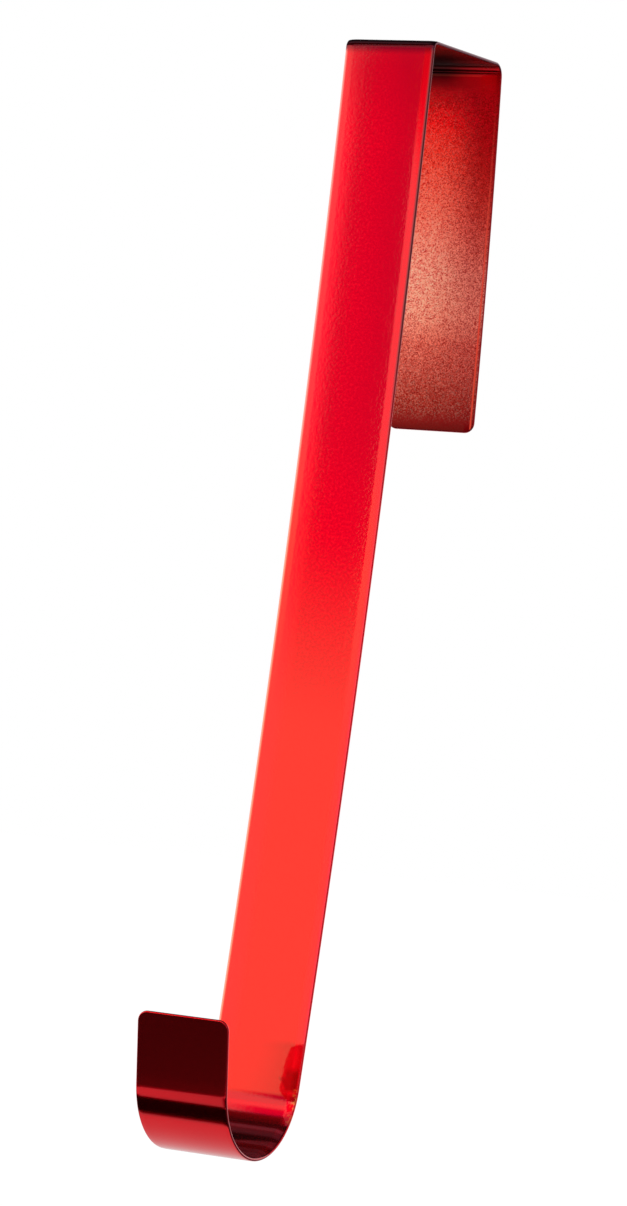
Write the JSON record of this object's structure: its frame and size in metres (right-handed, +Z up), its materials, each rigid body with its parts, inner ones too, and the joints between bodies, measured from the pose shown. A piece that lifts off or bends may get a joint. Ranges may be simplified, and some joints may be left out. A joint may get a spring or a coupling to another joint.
{
  "type": "wreath hanger",
  "caption": "Bent steel strip that hooks over the top of a door, with a long front leg ending in an upturned hook for a wreath.",
  "frame": {"origin": "middle of the bridge's underside, where the strip sits on the top edge of the door", "axes": "+Z up along the door, +X across the width of the strip, -Y towards the room and the hook"},
  "size_m": [0.03, 0.1287, 0.3358],
  "materials": {
    "lacquered_steel": "glossy translucent red lacquer over bright steel"
  },
  "bodies": {
    "root": {"wreath_hanger": "lacquered_steel"}
  },
  "joints": []
}
